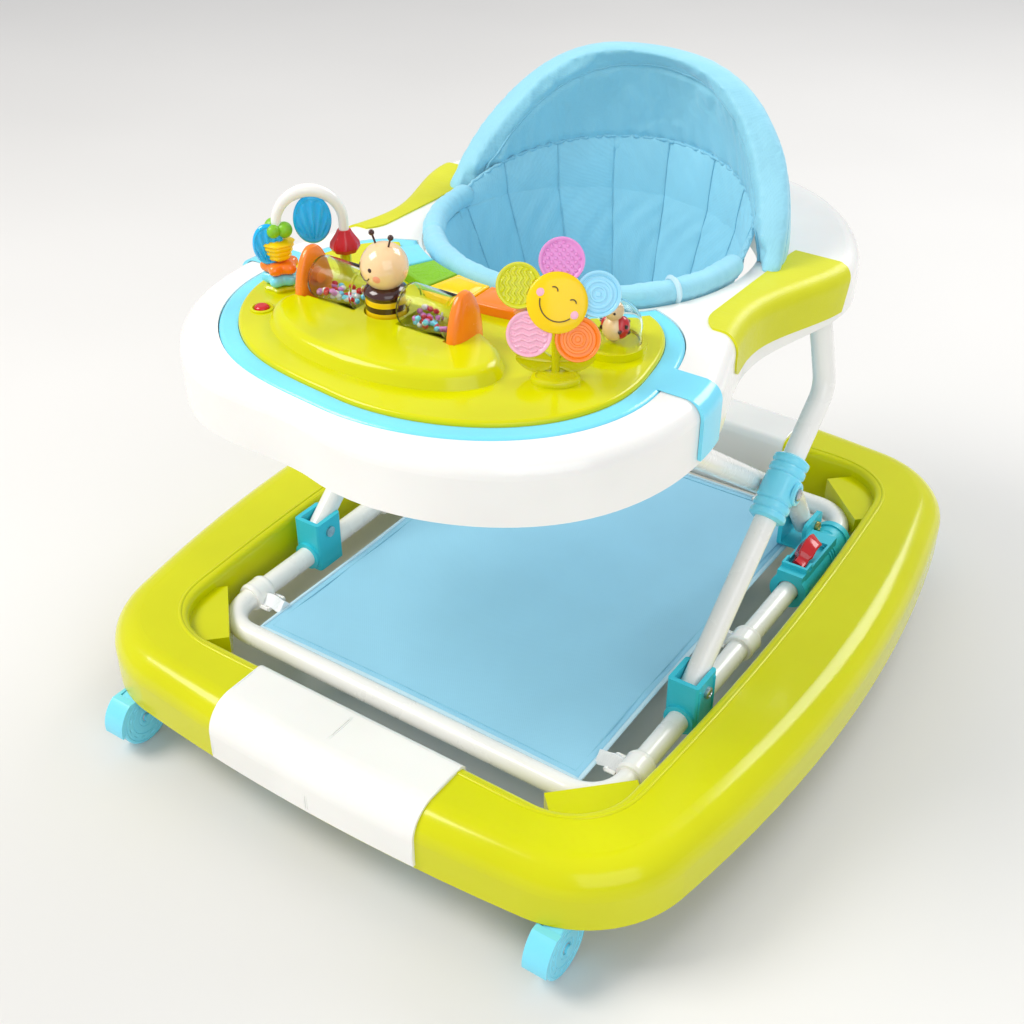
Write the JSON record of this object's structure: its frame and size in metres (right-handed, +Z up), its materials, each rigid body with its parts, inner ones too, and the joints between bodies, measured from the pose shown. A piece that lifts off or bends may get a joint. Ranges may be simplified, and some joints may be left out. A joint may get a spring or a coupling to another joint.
{
  "type": "baby walker",
  "caption": "Rolling baby walker with a wide ring base on swivel casters, scissor height frame, cloth seat with padded backrest and a lift-off toy tray.",
  "frame": {"origin": "on the floor, under the centre of the bounding box", "axes": "+X to the sitting child's left, -Y towards the toy tray, +Z up"},
  "size_m": [0.6398, 0.738, 0.5467],
  "materials": {
    "lime_plastic": "gloss",
    "white_plastic": "gloss",
    "sky_plastic": "gloss",
    "teal_plastic": "satin",
    "red_plastic": "gloss",
    "orange_plastic": "gloss",
    "yellow_plastic": "gloss",
    "green_plastic": "satin",
    "clear_plastic": "clear gloss",
    "bee_paint": "gloss paint",
    "white_steel": "gloss enamel",
    "steel": "zinc plated",
    "sky_rubber": "matte",
    "seat_cloth": "soft sheen",
    "mat_cloth": "matte",
    "white_webbing": "woven"
  },
  "bodies": {
    "base": {"base_ring": "lime_plastic", "front_stopper_pad": "white_plastic", "rear_stopper_pad": "white_plastic", "anti_slip_strips": "sky_rubber", "front_cross_tube": "white_steel", "rear_cross_tube": "white_steel", "side_tube_left": "white_steel", "side_tube_right": "white_steel", "foot_mat": "mat_cloth", "mat_collars": "white_plastic", "mat_tabs": "white_webbing", "leg_bracket_left": "teal_plastic", "leg_bracket_right": "teal_plastic", "bracket_pins": "steel"},
    "leg_frame_a": {"leg_a_left": "white_steel", "leg_a_right": "white_steel", "cross_barrels": "sky_plastic", "cross_pins": "steel"},
    "leg_frame_b": {"leg_b_left": "white_steel", "leg_b_right": "white_steel", "leg_b_crossbar": "white_steel", "slide_pins": "steel"},
    "sliders": {"slider_left": "teal_plastic", "slider_right": "teal_plastic"},
    "latch_left": {"latch_left": "red_plastic"},
    "latch_right": {"latch_right": "red_plastic"},
    "seat_tray": {"tray_shell": "white_plastic", "tray_brackets": "white_plastic", "hinge_pins": "steel", "grip_panel_left": "lime_plastic", "grip_panel_right": "lime_plastic", "seat_sling": "seat_cloth", "rim_roll": "seat_cloth", "backrest": "seat_cloth"},
    "play_tray": {"tray_trim": "sky_plastic", "play_panel": "lime_plastic", "roller_posts": "orange_plastic", "arch": "white_plastic", "flower_stem": "lime_plastic", "dome": "clear_plastic"},
    "drum_left": {"drum_left": "clear_plastic"},
    "drum_right": {"drum_right": "clear_plastic"},
    "bee": {"bee": "bee_paint"},
    "button": {"button": "red_plastic"},
    "arch_stars": {"arch_stars": "sky_plastic"},
    "arch_beads": {"arch_beads": "yellow_plastic"},
    "flower_head": {"flower_head": "yellow_plastic"},
    "ladybug": {"ladybug": "red_plastic"},
    "key_1": {"key_1": "sky_plastic"},
    "key_2": {"key_2": "green_plastic"},
    "key_3": {"key_3": "yellow_plastic"},
    "key_4": {"key_4": "orange_plastic"},
    "caster_front_left": {"caster_hood_front_left": "sky_plastic"},
    "wheel_front_left": {"caster_wheel_front_left": "sky_plastic"},
    "caster_front_right": {"caster_hood_front_right": "sky_plastic"},
    "wheel_front_right": {"caster_wheel_front_right": "sky_plastic"},
    "caster_rear_left": {"caster_hood_rear_left": "sky_plastic"},
    "wheel_rear_left": {"caster_wheel_rear_left": "sky_plastic"},
    "caster_rear_right": {"caster_hood_rear_right": "sky_plastic"},
    "wheel_rear_right": {"caster_wheel_rear_right": "sky_plastic"}
  },
  "joints": [
    {"name": "height_fold", "type": "hinge", "parent": "base", "child": "leg_frame_a", "pos_m": [0, -0.1035, 0.106], "axis": [1, 0, 0], "range_deg": [-3.5, 6]},
    {"name": "cross_pivot", "type": "hinge", "parent": "leg_frame_a", "child": "leg_frame_b", "pos_m": [0, 0.0387, 0.2286], "axis": [1, 0, 0], "range_deg": [-12, 7]},
    {"name": "slider_pivot", "type": "hinge", "parent": "leg_frame_b", "child": "sliders", "pos_m": [0, 0.182, 0.1], "axis": [1, 0, 0], "range_deg": [-3.5, 6]},
    {"name": "tray_hinge", "type": "hinge", "parent": "leg_frame_a", "child": "seat_tray", "pos_m": [0, 0.114, 0.386], "axis": [1, 0, 0], "range_deg": [-8.4, 4.9]},
    {"name": "latch_left_lift", "type": "hinge", "parent": "sliders", "child": "latch_left", "pos_m": [-0.208, 0.1125, 0.1005], "axis": [1, 0, 0], "range_deg": [0, 15], "stiffness_Nm_per_rad": 0.3, "springref_deg": -5.73},
    {"name": "latch_right_lift", "type": "hinge", "parent": "sliders", "child": "latch_right", "pos_m": [0.208, 0.1125, 0.1005], "axis": [1, 0, 0], "range_deg": [0, 15], "stiffness_Nm_per_rad": 0.3, "springref_deg": -5.73},
    {"name": "play_tray_lift", "type": "slide", "parent": "seat_tray", "child": "play_tray", "axis": [0, 0, 1], "range_m": [0, 0.06]},
    {"name": "swivel_front_left", "type": "hinge", "parent": "base", "child": "caster_front_left", "pos_m": [-0.226, -0.314, 0.06], "axis": [0, 0, 1], "continuous": true},
    {"name": "roll_front_left", "type": "hinge", "parent": "caster_front_left", "child": "wheel_front_left", "pos_m": [-0.226, -0.338, 0.027], "axis": [1, 0, 0], "continuous": true},
    {"name": "swivel_front_right", "type": "hinge", "parent": "base", "child": "caster_front_right", "pos_m": [0.226, -0.314, 0.06], "axis": [0, 0, 1], "continuous": true},
    {"name": "roll_front_right", "type": "hinge", "parent": "caster_front_right", "child": "wheel_front_right", "pos_m": [0.226, -0.338, 0.027], "axis": [1, 0, 0], "continuous": true},
    {"name": "swivel_rear_left", "type": "hinge", "parent": "base", "child": "caster_rear_left", "pos_m": [-0.226, 0.314, 0.06], "axis": [0, 0, 1], "continuous": true},
    {"name": "roll_rear_left", "type": "hinge", "parent": "caster_rear_left", "child": "wheel_rear_left", "pos_m": [-0.226, 0.338, 0.027], "axis": [1, 0, 0], "continuous": true},
    {"name": "swivel_rear_right", "type": "hinge", "parent": "base", "child": "caster_rear_right", "pos_m": [0.226, 0.314, 0.06], "axis": [0, 0, 1], "continuous": true},
    {"name": "roll_rear_right", "type": "hinge", "parent": "caster_rear_right", "child": "wheel_rear_right", "pos_m": [0.226, 0.338, 0.027], "axis": [1, 0, 0], "continuous": true},
    {"name": "drum_left_spin", "type": "hinge", "parent": "play_tray", "child": "drum_left", "pos_m": [-0.078, -0.186, 0.436], "axis": [1, 0, 0], "continuous": true},
    {"name": "drum_right_spin", "type": "hinge", "parent": "play_tray", "child": "drum_right", "pos_m": [0.008, -0.186, 0.436], "axis": [1, 0, 0], "continuous": true},
    {"name": "bee_spin", "type": "hinge", "parent": "play_tray", "child": "bee", "pos_m": [-0.035, -0.186, 0.43], "axis": [0, 0, 1], "continuous": true},
    {"name": "arch_stars_spin", "type": "hinge", "parent": "play_tray", "child": "arch_stars", "pos_m": [-0.146, -0.182, 0.425], "axis": [0, 0, 1], "continuous": true},
    {"name": "arch_beads_spin", "type": "hinge", "parent": "play_tray", "child": "arch_beads", "pos_m": [-0.146, -0.182, 0.45], "axis": [0, 0, 1], "continuous": true},
    {"name": "flower_head_spin", "type": "hinge", "parent": "play_tray", "child": "flower_head", "pos_m": [0.119, -0.188, 0.474], "axis": [0.5068, -0.7514, 0.4226], "continuous": true},
    {"name": "ladybug_spin", "type": "hinge", "parent": "play_tray", "child": "ladybug", "pos_m": [0.126, -0.121, 0.43], "axis": [0, 0, 1], "continuous": true},
    {"name": "key_1_press", "type": "slide", "parent": "play_tray", "child": "key_1", "axis": [0, 0, -1], "range_m": [0, 0.003], "stiffness_N_per_m": 400, "springref_m": -0.002},
    {"name": "key_2_press", "type": "slide", "parent": "play_tray", "child": "key_2", "axis": [0, 0, -1], "range_m": [0, 0.003], "stiffness_N_per_m": 400, "springref_m": -0.002},
    {"name": "key_3_press", "type": "slide", "parent": "play_tray", "child": "key_3", "axis": [0, 0, -1], "range_m": [0, 0.003], "stiffness_N_per_m": 400, "springref_m": -0.002},
    {"name": "key_4_press", "type": "slide", "parent": "play_tray", "child": "key_4", "axis": [0, 0, -1], "range_m": [0, 0.003], "stiffness_N_per_m": 400, "springref_m": -0.002},
    {"name": "button_press", "type": "slide", "parent": "play_tray", "child": "button", "axis": [0, 0, -1], "range_m": [0, 0.002], "stiffness_N_per_m": 200, "springref_m": -0.001}
  ],
  "couplings": [
    {"joint": "cross_pivot", "follows": "height_fold", "ratio": -2},
    {"joint": "slider_pivot", "follows": "height_fold", "ratio": 1},
    {"joint": "tray_hinge", "follows": "height_fold", "ratio": -1.4}
  ]
}
